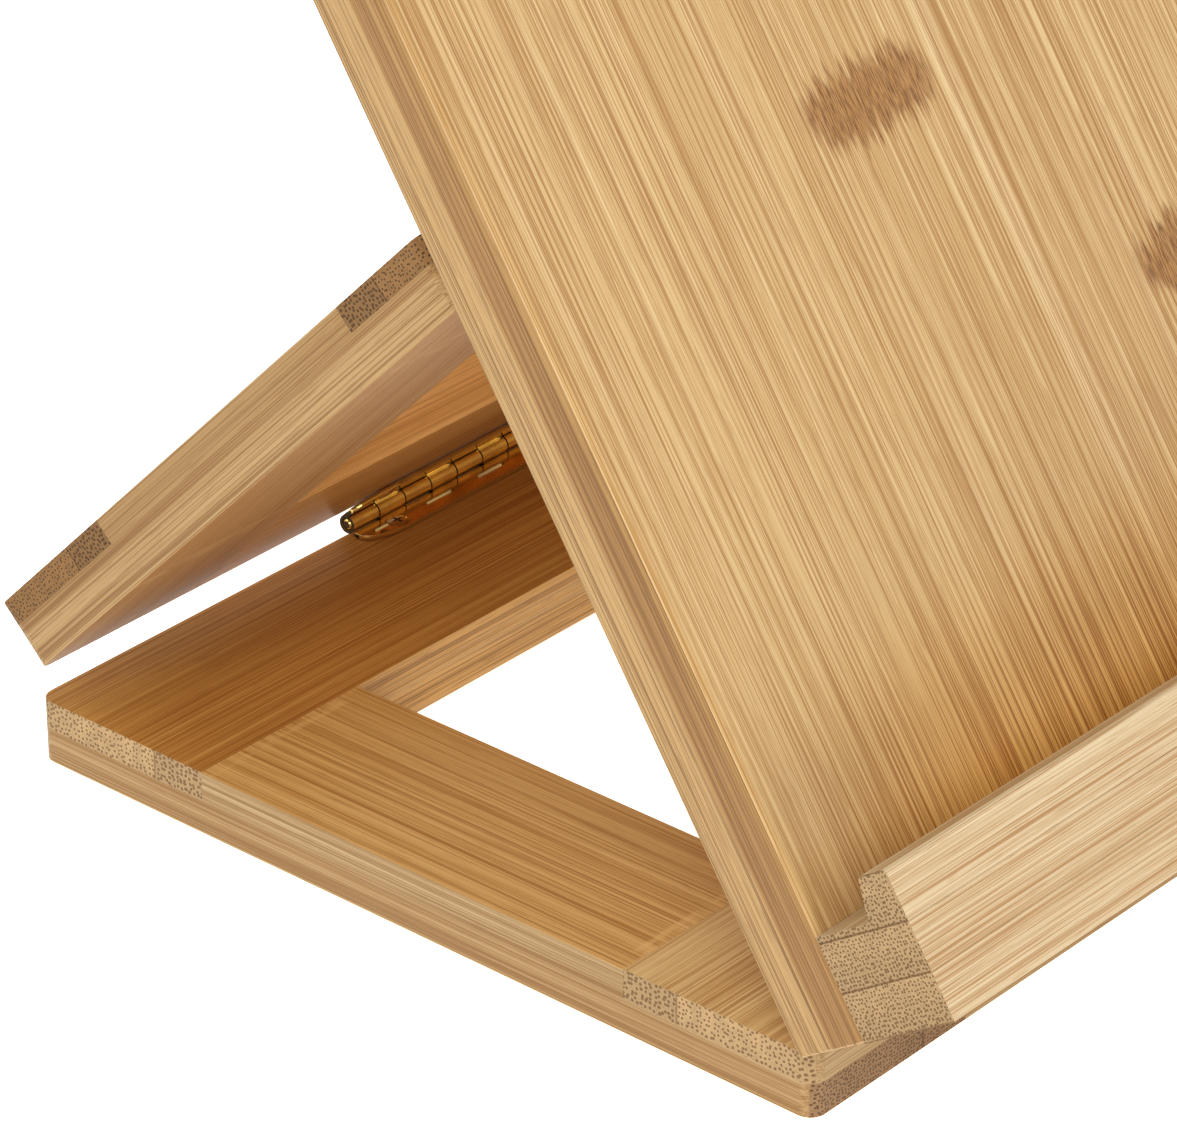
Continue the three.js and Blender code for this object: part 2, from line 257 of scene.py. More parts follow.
def soften_normals(piece, angle=40):
    """Smooth shading of the rounded edges, which leaves the broad faces flat."""
    shape = bmesh.new()
    shape.from_mesh(piece.data)
    shape.normal_update()
    broad = {face for face in shape.faces if is_broad(face)}
    limit = math.cos(math.radians(angle))
    normals = []
    for face in shape.faces:
        for corner in face.verts:
            near = [other for other in corner.link_faces if other.normal.dot(face.normal) > limit]
            flat = [other for other in near if other in broad]
            chosen = [face] if face in broad else flat or near
            normals.append(sum((other.normal for other in chosen), Vector()).normalized())
    shape.free()
    piece.data.shade_smooth()
    piece.data.normals_split_custom_set(normals)


def set_grain(piece, axis, start=(0.0, 0.0, 0.0), flip=1.0, seams=(1e3, 1e3)):
    """Notes where each point lies in the wood, and sorts the faces into flat, edge and end grain.

    "grain" holds the millimetres along the grain, across the face and through the thickness, from start.
    "seams" holds the millimetres along the grain from each of two glued shoulders.
    """
    along = "xyz".index(axis)
    order = (along, 1 - along, 2)
    mesh = piece.data
    grain = mesh.attributes.new("grain", "FLOAT_VECTOR", "POINT")
    shoulders = mesh.attributes.new("seams", "FLOAT_VECTOR", "POINT")
    for vertex, place, nearby in zip(mesh.vertices, grain.data, shoulders.data):
        point = vertex.co / MM
        place.vector = (
            point[order[0]] - start[0], (point[order[1]] - start[1]) * flip, point[order[2]] - start[2],
        )
        nearby.vector = (point[order[0]] - seams[0], seams[1] - point[order[0]], 0.0)
    for face in mesh.polygons:
        end, edge = abs(face.normal[order[0]]), abs(face.normal[order[1]])
        face.material_index = 2 if end > END_GRAIN_FROM else int(edge > EDGE_GRAIN_FROM)


def finish_piece(piece, node, body, materials):
    """Raises a flat piece with its body, and puts it in the CAD node's place."""
    for material in materials:
        piece.data.materials.append(material)
    soften_normals(piece)
    piece.data.transform(FLAT[body])
    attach(piece, body)
    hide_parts(node)


# ---------------------------------------------------------------- materials

class Graph:
    """The node tree of one material, with short names for the usual nodes."""

    def __init__(self, name):
        self.material = bpy.data.materials.new(name)
        self.material.use_nodes = True
        self.tree = self.material.node_tree
        self.tree.nodes.clear()
        self.surface = self.tree.nodes.new("ShaderNodeBsdfPrincipled")
        output = self.tree.nodes.new("ShaderNodeOutputMaterial")
        self.tree.links.new(self.surface.outputs[0], output.inputs[0])

    def put(self, socket, value):
        if isinstance(value, bpy.types.NodeSocket):
            self.tree.links.new(value, socket)
        elif value is not None:
            socket.default_value = value

    def node(self, kind, *values, **settings):
        made = self.tree.nodes.new(kind)
        for key, value in settings.items():
            setattr(made, key, value)
        for socket, value in zip(made.inputs, values):
            self.put(socket, value)
        return made

    def maths(self, operation, *values):
        return self.node("ShaderNodeMath", *values, operation=operation).outputs[0]

    def plus(self, first, second):
        return self.maths("ADD", first, second)

    def minus(self, first, second):
        return self.maths("SUBTRACT", first, second)

    def times(self, first, second):
        return self.maths("MULTIPLY", first, second)

    def vector(self, operation, *values):
        return self.node("ShaderNodeVectorMath", *values, operation=operation).outputs[0]

    def split(self, vector):
        return list(self.node("ShaderNodeSeparateXYZ", vector).outputs)

    def join(self, x, y, z):
        return self.node("ShaderNodeCombineXYZ", x, y, z).outputs[0]

    def noise(self, vector, scale=1.0, detail=2.0, roughness=0.5):
        made = self.node("ShaderNodeTexNoise")
        self.put(made.inputs["Vector"], vector)
        self.put(made.inputs["Scale"], scale)
        self.put(made.inputs["Detail"], detail)
        self.put(made.inputs["Roughness"], roughness)
        return made.outputs["Fac"]

    def remap(self, value, low, high, to_low=0.0, to_high=1.0):
        """A smooth step from to_low to to_high as value goes from low to high."""
        values = (value, low, high, to_low, to_high)
        return self.node("ShaderNodeMapRange", *values, interpolation_type="SMOOTHSTEP").outputs[0]

    def mix(self, factor, first, second, blend="MIX"):
        """Two colours mixed. They are the node's inputs 6 and 7, and its output 2."""
        made = self.node("ShaderNodeMix", data_type="RGBA", blend_type=blend)
        self.put(made.inputs[0], factor)
        self.put(made.inputs[6], colour(first))
        self.put(made.inputs[7], colour(second))
        return made.outputs[2]

    def attribute(self, name):
        return self.node("ShaderNodeAttribute", attribute_name=name).outputs["Vector"]

    def bump(self, height, strength, distance):
        made = self.node("ShaderNodeBump")
        self.put(made.inputs["Height"], height)
        self.put(made.inputs["Strength"], strength)
        self.put(made.inputs["Distance"], distance)
        self.put(self.surface.inputs["Normal"], made.outputs[0])

    def finish(self, **values):
        """Sets the surface's inputs, whose names are given with _ for a space."""
        for key, value in values.items():
            self.put(self.surface.inputs[key.replace("_", " ")], value)
        return self.material


def colour(value):
    """Adds the alpha that an RGB colour lacks. Anything else is passed on."""
    return (*value, 1.0) if isinstance(value, tuple) and len(value) == 3 else value


def shade(rgb, factor):
    """A darker or paler colour of the same hue."""
    return tuple(channel * factor for channel in rgb)


def streaks(graph, place, length, width, detail=2.0, roughness=0.5):
    """Noise drawn out along the grain, about 0 to 1, with streaks of this size in millimetres."""
    stretched = graph.vector("MULTIPLY", place, (1 / length, 1 / width, 1 / width))
    return graph.noise(stretched, 1.0, detail, roughness)


def strip_tone(graph, across, width, offset):
    """A random value for each glued strip, and the millimetres from its first and from its nearer seam."""
    place = graph.maths("DIVIDE", graph.plus(across, offset), width)
    random = graph.node("ShaderNodeTexWhiteNoise", noise_dimensions="1D")
    graph.put(random.inputs["W"], graph.maths("FLOOR", place))
    inside = graph.maths("FRACT", place)
    nearer = graph.maths("MINIMUM", inside, graph.minus(1.0, inside))
    return random.outputs["Value"], graph.times(inside, width), graph.times(nearer, width)


def strip_bands(graph, body, tone, passed, dark, pale):
    """Tones a glued strip, and lays a pale and then a dark band along its first few millimetres."""
    pale_band = graph.times(graph.remap(passed, 0.6, 1.2), graph.remap(passed, 4.0, 3.2, 0.0, 0.7))
    dark_band = graph.times(graph.remap(passed, 3.4, 4.4), graph.remap(passed, 10.0, 6.5, 0.0, 0.45))
    body = graph.mix(graph.remap(tone, 0.0, 1.0, 0.0, 0.18), body, dark)
    body = graph.mix(graph.times(pale_band, tone), body, pale)
    return graph.mix(graph.times(dark_band, tone), body, dark)


def knot_mask(graph, place, places):
    """Bamboo nodes: patches with ragged ends along the grain."""
    def distance(value, middle, half):
        return graph.maths("ABSOLUTE", graph.maths("DIVIDE", graph.minus(value, middle), half))

    along, across = graph.split(place)[:2]
    ragged = streaks(graph, place, 10.0, 0.7, 3.0)
    along = graph.plus(along, graph.times(graph.minus(ragged, 0.5), 15.0))
    total = 0.0
    for x, y in places:
        sideways = graph.maths("POWER", distance(across, x, KNOT_HALF_WIDTH), 4.0)
        lengthways = graph.maths("POWER", distance(along, y, KNOT_HALF_HEIGHT), 2.0)
        reach = graph.plus(sideways, lengthways)
        total = graph.maths("MAXIMUM", total, graph.remap(reach, 1.55, 0.40))
    return total


def fibres(graph, body, place, dark, pale):
    """Lays broad bands, fine dark and pale lines and short flecks over a ground colour.

    Returns the colour, and the height of the fibres, which is about 1 on average.
    """
    bands = streaks(graph, place, 500.0, 5.0, 1.0)
    lines = streaks(graph, place, 240.0, 0.62, 3.0, 0.7)
    threads = streaks(graph, place, 70.0, 0.22, 2.0, 0.6)
    flecks = streaks(graph, place, 9.0, 0.40, 2.0, 0.5)
    body = graph.mix(graph.remap(bands, 0.35, 0.65, 0.0, 0.22), body, pale)
    body = graph.mix(graph.remap(bands, 0.50, 0.30, 0.0, 0.15), body, dark)
    body = graph.mix(graph.remap(lines, 0.49, 0.37, 0.0, 0.75), body, dark)
    body = graph.mix(graph.remap(lines, 0.53, 0.66, 0.0, 0.65), body, pale)
    body = graph.mix(graph.remap(threads, 0.48, 0.37, 0.0, 0.75), body, dark)
    body = graph.mix(graph.remap(threads, 0.54, 0.66, 0.0, 0.45), body, pale)
    body = graph.mix(graph.remap(flecks, 0.45, 0.32, 0.0, 0.35), body, dark)
    return body, graph.plus(lines, threads)


def knot_patches(graph, body, place, places):
    """Lays the bamboo nodes, of short dark and pale tufts, over the fibres."""
    mask = knot_mask(graph, graph.attribute("grain"), places)
    tufts = streaks(graph, place, 3.5, 0.27, 3.0, 0.6)
    patch = graph.mix(graph.remap(tufts, 0.38, 0.60), KNOT_DARK, KNOT_PALE)
    return graph.mix(graph.times(mask, graph.remap(tufts, 0.35, 0.65, 0.95, 0.72)), body, patch)


def shoulder_lines(graph, body, pale):
    """Lays the patchy pale lines of glue beside a stile's two shoulders."""
    first, second = graph.split(graph.attribute("seams"))[:2]
    near = graph.maths("MINIMUM", graph.maths("ABSOLUTE", first), graph.maths("ABSOLUTE", second))
    patchy = streaks(graph, graph.attribute("grain"), 3.0, 9.0)
    band = graph.times(graph.remap(near, 3.2, 2.2), graph.remap(patchy, 0.40, 0.60, 0.0, 0.55))
    return graph.mix(band, body, shade(pale, 1.05))


def painted_bounce_light(graph, body, relief, along, across, reach):
    """Painted warm bounce light and shade near the ledge: tints the wood up to reach millimetres along the
    grain, less towards the left side, and darkens its fibre lines there.
    """
    bounce_amount = graph.times(
        graph.remap(along, reach, reach * 0.3), graph.remap(across, BOUNCE_FADE_START, BOUNCE_FADE_END),
    )
    body = graph.mix(bounce_amount, body, BOUNCE_LIGHT_TINT, "MULTIPLY")
    return graph.mix(graph.times(bounce_amount, graph.remap(relief, 1.03, 0.85, 0.0, 0.75)), body, BOUNCE_SHADE_LINES)


def long_grain(name, tones, strips=None, plies=None, knots=(), shoulders=False, bounce_to=None):
    """Lacquered bamboo along the grain.

    strips is the width and offset of the glued strips. plies is a second ground colour, and the level
    through the thickness (or across, as its third value says) below which it is used. The last argument
    gives how many millimetres along the grain the painted warm bounce light and shade reach near the ledge.
    """
    graph = Graph(name)
    body, dark, pale = tones
    place = graph.attribute("grain")
    along, across, depth = graph.split(place)
    if plies:
        lower, level, direction = plies
        ragged = graph.times(graph.minus(streaks(graph, place, 90.0, 3.0), 0.5), 1.2)
        above = graph.plus({"depth": depth, "across": across}[direction], ragged)
        body = graph.mix(graph.remap(above, level - 0.25, level + 0.25), lower, body)
    if strips:
        tone, passed, seam = strip_tone(graph, across, *strips)
        body = strip_bands(graph, body, tone, passed, dark, pale)
        place = graph.vector("ADD", place, graph.join(graph.times(tone, 900.0), 0.0, 0.0))
    body, relief = fibres(graph, body, place, dark, pale)
    if strips:
        body = graph.mix(graph.remap(seam, 0.30, 0.08, 0.0, 0.55), body, dark)
    if shoulders:
        body = shoulder_lines(graph, body, pale)
    # Painted warm bounce light and shade near the ledge.
    if bounce_to:
        body = painted_bounce_light(graph, body, relief, along, across, bounce_to)
    if knots:
        body = knot_patches(graph, body, place, knots)
    graph.bump(relief, 0.10, FIBRE_DEPTH)
    return graph.finish(
        Base_Color=body, Roughness=graph.remap(relief, 0.7, 1.3, 0.52, 0.42), Specular_IOR_Level=0.3,
        Coat_Weight=0.12, Coat_Roughness=0.22,
    )


def end_grain(name, tones, spacing, crowding, strips=None):
    """Sawn ends: dark vessels in a tan ground.

    crowding makes, from the graph and the millimetres across and deep, a value that rises to 1 where
    vessels crowd.
    """
    graph = Graph(name)
    ground, dot, pale = tones
    grain = graph.attribute("grain")
    across, depth = graph.split(grain)[1:]
    crowd = crowding(graph, across, depth)
    place = graph.vector("MULTIPLY", grain, (0.001, 1 / spacing, 1 / spacing))
    warp = graph.times(graph.noise(place, 0.6), 0.8)
    wide, deep = graph.split(place)[1:]
    cells = graph.node("ShaderNodeTexVoronoi", voronoi_dimensions="2D")
    graph.put(cells.inputs["Vector"], graph.join(graph.plus(wide, warp), deep, 0.0))
    graph.put(cells.inputs["Scale"], 1.0)
    graph.put(cells.inputs["Randomness"], 0.62)
    reach = graph.maths("DIVIDE", cells.outputs["Distance"], graph.maths("MULTIPLY_ADD", crowd, 0.10, 0.32))
    spot = graph.remap(reach, 1.15, 0.45)
    halo = graph.remap(reach, 2.0, 1.1)
    cloud = graph.noise(place, 0.35)
    body = graph.mix(graph.remap(cloud, 0.3, 0.7), shade(ground, 0.90), shade(ground, 1.10))
    body = graph.mix(graph.times(crowd, 0.55), body, shade(ground, 0.60))
    body = graph.mix(graph.times(halo, 0.35), body, pale)
    body = graph.mix(graph.times(spot, 0.85), body, dot)
    if strips:
        seam = strip_tone(graph, across, *strips)[2]
        body = graph.mix(graph.remap(seam, 0.30, 0.08, 0.0, 0.6), body, dot)
    graph.bump(graph.minus(1.0, spot), 0.25, FIBRE_DEPTH)
    return graph.finish(Base_Color=body, Roughness=0.6, Specular_IOR_Level=0.2)


def crowd_frame(graph, across, depth):
    """Vessels crowd in the strip at a member's inner edge, towards its outer edge, and by the lap."""
    inner = graph.remap(across, 11.2, 10.6)
    outer = graph.remap(across, 27.0, 39.0, 0.0, 0.7)
    lap = graph.remap(depth, 9.0, 6.2, 0.0, 0.6)
    return graph.maths("MAXIMUM", graph.maths("MAXIMUM", inner, outer), lap)


def crowd_ledge(graph, across, depth):
    """Vessels crowd towards the lower side of each ledge strip."""
    width, offset = LEDGE_STRIPS
    inside = graph.maths("FRACT", graph.maths("DIVIDE", graph.plus(across, offset), width))
    return graph.remap(inside, 0.75, 0.05, 0.35, 1.0)


def crowd_stile(graph, across, depth):
    """Vessels crowd here and there, strip by strip."""
    place = graph.join(graph.times(across, 0.12), 0.0, 0.0)
    return graph.remap(graph.noise(place), 0.3, 0.7, 0.4, 1.0)


def brass(name, base, roughness):
    """Brass with faint rolling marks and tarnish."""
    graph = Graph(name)
    place = graph.node("ShaderNodeTexCoord").outputs["Object"]
    cloud = graph.noise(place, 140.0, 3.0)
    marks = graph.noise(graph.vector("MULTIPLY", place, (90.0, 1800.0, 1800.0)))
    body = graph.mix(graph.remap(cloud, 0.4, 0.7), base, shade(base, 0.80))
    graph.bump(marks, 0.04, FIBRE_DEPTH)
    return graph.finish(
        Base_Color=body, Metallic=0.9, Roughness=graph.remap(cloud, 0.3, 0.7, roughness, roughness + 0.08),
    )


# Ground, dark line and pale line of each kind of bamboo face.
BOARD_FACE = ((0.588, 0.400, 0.180), (0.375, 0.184, 0.053), (0.735, 0.555, 0.310))
BOARD_EDGE = ((0.350, 0.198, 0.070), (0.215, 0.108, 0.034), (0.480, 0.310, 0.135))
# Painted shade: the base's rear rail takes a darker, more saturated copy of the stile bamboo.
SHADED_REAR_FACE = ((0.565, 0.300, 0.076), (0.380, 0.155, 0.030), (0.660, 0.400, 0.130))
STILE_FACE = ((0.685, 0.425, 0.148), (0.450, 0.215, 0.053), (0.780, 0.530, 0.230))
# Painted light: the base's front rail takes a paler copy of the stile bamboo.
LIT_FRONT_FACE = ((0.725, 0.515, 0.232), (0.470, 0.240, 0.072), (0.810, 0.630, 0.350))
FRAME_EDGE = ((0.405, 0.278, 0.135), (0.270, 0.145, 0.048), (0.500, 0.370, 0.200))
# Painted shade and sheen: the support's stiles take a darker, greyer ground than its rails. Painted light:
# the rails take a brighter, more orange ground.
SHADED_SUPPORT_STILE = ((0.455, 0.275, 0.112), (0.310, 0.150, 0.048), (0.550, 0.370, 0.180))
SUPPORT_RAIL = ((0.550, 0.312, 0.100), (0.370, 0.165, 0.040), (0.650, 0.410, 0.160))
SUPPORT_RAIL_EDGE = ((0.420, 0.260, 0.110), (0.560, 0.285, 0.092), (0.840, 0.540, 0.235))
SUPPORT_EDGE = ((0.350, 0.214, 0.080), (0.240, 0.120, 0.036), (0.440, 0.295, 0.130))
LEDGE_FACE = ((0.620, 0.470, 0.285), (0.420, 0.225, 0.080), (0.740, 0.610, 0.410))

# Ground of the second ply, where a face shows two.
FACE_PLY = shade(BOARD_FACE[0], 0.80)
LOWER_PLY = (0.375, 0.232, 0.092)
# Painted light: a brighter orange ground for the inner edges of the support's rails.
LIT_INNER_EDGE = (0.730, 0.430, 0.165)

# Ground, vessel and halo of each kind of sawn end.
SAWN_BOARD = ((0.560, 0.390, 0.205), (0.230, 0.125, 0.052), (0.660, 0.500, 0.290))
SAWN_RAIL = ((0.455, 0.310, 0.160), (0.175, 0.095, 0.040), (0.560, 0.415, 0.240))
SAWN_STILE = ((0.320, 0.200, 0.105), (0.100, 0.048, 0.020), (0.420, 0.280, 0.155))
SAWN_SUPPORT = ((0.250, 0.135, 0.050), (0.070, 0.032, 0.012), (0.370, 0.225, 0.100))
SAWN_LEDGE = ((0.420, 0.285, 0.148), (0.140, 0.075, 0.028), (0.540, 0.390, 0.220))

# Bamboo nodes, and the painted warm bounce light and shade near the ledge, which fade over these millimetres
# across the board.
KNOT_DARK, KNOT_PALE = (0.190, 0.078, 0.018), (0.420, 0.205, 0.055)
BOUNCE_LIGHT_TINT = (1.14, 0.95, 0.60)
BOUNCE_SHADE_LINES = (0.340, 0.130, 0.018)
BOUNCE_FADE_START, BOUNCE_FADE_END = -160.0, -110.0

# The face, edge and end material of each kind of piece.
board_woods = (
    # The board face takes painted warm bounce light and shade near the ledge, up to 60 mm along the grain.
    long_grain("board_face", BOARD_FACE, strips=BOARD_STRIPS, knots=KNOT_PLACES, bounce_to=60.0),
    long_grain("board_edge", BOARD_EDGE, plies=(FACE_PLY, 9.6, "depth")),
    end_grain("board_end", SAWN_BOARD, 0.9, crowd_stile, BOARD_STRIPS),
)
base_rail_edge = long_grain("base_rail_edge", FRAME_EDGE, plies=(STILE_FACE[0], 20.0, "across"))
base_rail_end = end_grain("base_rail_end", SAWN_RAIL, 0.95, crowd_frame, FRAME_STRIPS)
base_stile_woods = (
    long_grain("base_stile_face", STILE_FACE, strips=FRAME_STRIPS, shoulders=True),
    long_grain("base_stile_edge", FRAME_EDGE, plies=(LOWER_PLY, 6.4, "depth")),
    end_grain("base_stile_end", SAWN_STILE, 0.70, crowd_stile, FRAME_STRIPS),
)
base_woods = {
    "front_rail": (long_grain("front_rail_face", LIT_FRONT_FACE, FRAME_STRIPS), base_rail_edge, base_rail_end),
    "rear_rail": (long_grain("rear_rail_face", SHADED_REAR_FACE, FRAME_STRIPS), base_rail_edge, base_rail_end),
    "left_stile": base_stile_woods,
    "right_stile": base_stile_woods,
}
support_rail_woods = (
    long_grain("support_rail_face", SUPPORT_RAIL, strips=FRAME_STRIPS),
    long_grain("support_rail_edge", SUPPORT_RAIL_EDGE, plies=(LIT_INNER_EDGE, 20.0, "across")),
    end_grain("support_rail_end", SAWN_SUPPORT, 0.85, crowd_frame, FRAME_STRIPS),
)
support_stile_woods = (
    long_grain("support_stile_face", SHADED_SUPPORT_STILE, strips=FRAME_STRIPS, shoulders=True),
    long_grain("support_stile_edge", SUPPORT_EDGE, plies=(SUPPORT_EDGE[2], 6.0, "depth")),
    end_grain("support_stile_end", SAWN_STILE, 0.70, crowd_stile, FRAME_STRIPS),
)
support_woods = {
    "front_rail": support_rail_woods,
    "rear_rail": support_rail_woods,
    "left_stile": support_stile_woods,
    "right_stile": support_stile_woods,
}
ledge_face = long_grain("ledge_face", LEDGE_FACE)
ledge_end = end_grain("ledge_end", SAWN_LEDGE, 0.72, crowd_ledge, LEDGE_STRIPS)
ledge_woods = (ledge_face, ledge_face, ledge_end)
# Painted highlight: the brightest brass, on the rolled knuckles and the pin. Painted shade: the plate's
# darker brass, and the near-black brass on faces cut square to the pin.
highlit_brass = brass("highlit_brass", (1.0, 0.78, 0.30), 0.10)
shaded_plate_brass = brass("shaded_plate_brass", (0.78, 0.55, 0.20), 0.06)
shaded_end_brass = brass("shaded_end_brass", (0.075, 0.042, 0.014), 0.5)
screw_brass = brass("screw_brass", (0.86, 0.66, 0.34), 0.18)


# ---------------------------------------------------------------- wooden pieces

def make_frame(body, members, woods):
    """The four members of a half-lapped frame, cut from one eased blank so that their seams are flush."""
    boxes = {role: flat_box(node, body) for role, node in members.items()}
    low = Vector(np.min([box[0] for box in boxes.values()], axis=0))
    high = Vector(np.max([box[1] for box in boxes.values()], axis=0))
    inner = {
        "front_rail": boxes["front_rail"][1][1], "rear_rail": boxes["rear_rail"][0][1],
        "left_stile": boxes["left_stile"][1][0], "right_stile": boxes["right_stile"][0][0],
    }
    opening_low = (inner["left_stile"], inner["front_rail"])
    opening_high = (inner["right_stile"], inner["rear_rail"])
    for number, (role, node) in enumerate(members.items()):
        blank = mesh_object(node + "_visual", ring(low, high, opening_low, opening_high))
        boolean(blank, mesh_object("cutter", grown_node(node, body, SEAM_GROWTH)), "INTERSECT")
        outward = -1.0 if role in ("front_rail", "left_stile") else 1.0
        start = (number * 531.0, inner[role] / MM, low[2] / MM)
        if role.endswith("rail"):
            set_grain(blank, "x", start, outward)
        else:
            set_grain(blank, "y", start, outward, (inner["front_rail"] / MM, inner["rear_rail"] / MM))
        finish_piece(blank, node, body, woods[role])


make_frame("base", {
    "front_rail": "base_front_rail", "rear_rail": "base_rear_rail",
    "left_stile": "base_left_stile", "right_stile": "base_right_stile",
}, base_woods)
make_frame("support", {
    "front_rail": "support_top_rail", "rear_rail": "support_bottom_rail",
    "left_stile": "support_left_stile", "right_stile": "support_right_stile",
}, support_woods)


def make_board():
    """The reading board, with its front side edges well rounded and the rest just eased."""
    low, high = flat_box("reading_board", "reading_board")
    section = [(low[0], low[2]), (high[0], low[2])]
    section += arc((high[0] - BOARD_CORNER, high[2] - BOARD_CORNER), BOARD_CORNER, 0, 90, 6)
    section += arc((low[0] + BOARD_CORNER, high[2] - BOARD_CORNER), BOARD_CORNER, 90, 180, 6)
    shape = extruded(section, "y", low[1], high[1])
    ease(shape, BOARD_EASE, lambda edge: True)
    board = mesh_object("reading_board_visual", shape)
    cutter = mesh_object("cutter", grown_node("reading_board", "reading_board", SEAM_GROWTH))
    boolean(board, cutter, "INTERSECT")
    set_grain(board, "y")
    finish_piece(board, "reading_board", "reading_board", board_woods)


def make_from_node(node, offset, start):
    """A piece of the ledge kind: its CAD node, with the glue line closed and sharp edges eased."""
    shape = grown_node(node, "reading_board", SEAM_GROWTH)
    bmesh.ops.dissolve_limit(shape, angle_limit=math.radians(1), verts=shape.verts, edges=shape.edges)
    ease(shape, offset, lambda edge: True)
    piece = mesh_object(node + "_visual", shape)
    set_grain(piece, "x", start)
    finish_piece(piece, node, "reading_board", ledge_woods)


make_board()
make_from_node("ledge_lower_strip", LEDGE_EASE, (300.0, 0.0, 0.0))
make_from_node("ledge_middle_strip", LEDGE_EASE, (600.0, 0.0, 0.0))
make_from_node("ledge_lip_strip", LEDGE_EASE, (900.0, 0.0, 0.0))
make_from_node("stop_batten", BATTEN_EASE, (1200.0, 0.0, 0.0))


# ---------------------------------------------------------------- hinges

def rolled_knuckle():
    """Section of a leaf rolled round the pin, with the tail that joins the plate, in millimetres."""
    return [
        (KNUCKLE_TAIL, -KNUCKLE_RADIUS),
        *arc((0.0, 0.0), KNUCKLE_RADIUS, -90, -385, 28),
        *arc((0.0, 0.0), KNUCKLE_BORE, -385, -47, 28),
        (KNUCKLE_TAIL, LEAF_TOP),
    ]


def lathe(profile):
    """A solid turned about z from (radius, z) points that start and end on the axis."""
    shape = bmesh.new()
    rings = []
    for radius, z in profile:
        turns = TURNED_STEPS if radius > 0 else 1
        angles = [2 * math.pi * turn / TURNED_STEPS for turn in range(turns)]
        rings.append([shape.verts.new((radius * math.cos(a), radius * math.sin(a), z)) for a in angles])
    for lower, upper in zip(rings, rings[1:]):
        for turn in range(TURNED_STEPS):
            after = (turn + 1) % TURNED_STEPS
            corners = [lower[turn % len(lower)], lower[after % len(lower)],
                       upper[after % len(upper)], upper[turn % len(upper)]]
            shape.faces.new(dict.fromkeys(corners))
    bmesh.ops.recalc_face_normals(shape, faces=shape.faces)
    return shape


def in_metres(shape, move=(0.0, 0.0, 0.0)):
    """Moves a shape drawn in millimetres, then turns it to metres."""
    shape.transform(Matrix.Scale(MM, 4) @ Matrix.Translation(move))
    return shape


def finish_metal(piece, node, body, matrix, material):
    """Sets up a metal part drawn with the pin along x.

    Faces cut square to the pin are painted near black as shade, and those rolled round it get the brightest
    brass as a painted highlight.
    """
    for coating in (material, shaded_end_brass, highlit_brass):
        piece.data.materials.append(coating)
    for face in piece.data.polygons:
        rolled = math.hypot(face.center.y, face.center.z) < (KNUCKLE_RADIUS + 0.05) * MM
        square = abs(face.normal.x) > 0.99
        face.material_index = 1 if square else 2 * int(rolled)
    soften_normals(piece, 35)
    piece.data.transform(matrix)
    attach(piece, body)
    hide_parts(node)


def make_leaf(node, body, matrix, first_knuckle):
    """A hinge leaf in its own frame: pin along x, plate towards +y and below the pin."""
    near = KNUCKLE_RADIUS + KNUCKLE_GAP
    end_middle = (HINGE_HALF - LEAF_END_LENGTH, LEAF_REACH - LEAF_END_DEPTH)
    quarter = arc((0.0, 0.0), 1.0, 0, 90, 12)
    tip = [(end_middle[0] + a * LEAF_END_LENGTH, end_middle[1] + b * LEAF_END_DEPTH) for a, b in quarter]
    plan = [(-HINGE_HALF, near), (HINGE_HALF, near), *tip, *((-a, b) for a, b in reversed(tip))]
    plate = extruded(plan, "z", -KNUCKLE_RADIUS, LEAF_TOP)
    ease(plate, LEAF_EASE, lambda edge: is_level(edge) and edge.verts[0].co.y > near + 0.1, 2)
    leaf = mesh_object(node + "_visual", in_metres(plate))
    for place in range(first_knuckle, KNUCKLE_COUNT, 2):
        start = place * KNUCKLE_PITCH + KNUCKLE_GAP / 2 - HINGE_HALF
        knuckle = extruded(rolled_knuckle(), "x", start, start + KNUCKLE_PITCH - KNUCKLE_GAP)
        boolean(leaf, mesh_object("knuckle", in_metres(knuckle)), "UNION")
    sink = [
        (0.0, LEAF_TOP - 2.0), (HOLE_RADIUS, LEAF_TOP - 2.0), (HOLE_RADIUS, LEAF_TOP - SINK_DEPTH),
        (SINK_RADIUS, LEAF_TOP), (SINK_RADIUS, 0.0), (0.0, 0.0),
    ]
    for x in SCREW_PLACES:
        cutter = mesh_object("sink", in_metres(lathe(sink), (x, SCREW_FROM_PIN, 0.0)))
        boolean(leaf, cutter, "DIFFERENCE")
    finish_metal(leaf, node, body, matrix, shaded_plate_brass)


def make_screw(node, body, matrix, x):
    """A countersunk screw with a slightly domed head and a cross recess."""
    profile = [
        (0.0, -SCREW_LENGTH), (0.3, 0.1 - SCREW_LENGTH), (SCREW_RADIUS, 1.5 - SCREW_LENGTH),
        (SCREW_RADIUS, -HEAD_DEPTH), (HEAD_RADIUS, -0.08),
        (HEAD_RADIUS, 0.02), (1.5, 0.12), (0.8, 0.19), (0.0, HEAD_DOME),
    ]
    place = (x, SCREW_FROM_PIN, LEAF_TOP)
    screw = mesh_object(node + "_visual", in_metres(lathe(profile), place))
    for length, width in ((RECESS_LENGTH, RECESS_WIDTH), (RECESS_WIDTH, RECESS_LENGTH)):
        half_length, half_width = length / 2, width / 2
        slot = [
            (-half_length, -half_width), (half_length, -half_width),
            (half_length, half_width), (-half_length, half_width),
        ]
        recess = extruded(slot, "z", -RECESS_DEPTH, 0.5)
        boolean(screw, mesh_object("recess", in_metres(recess, place)), "DIFFERENCE")
    finish_metal(screw, node, body, matrix, screw_brass)


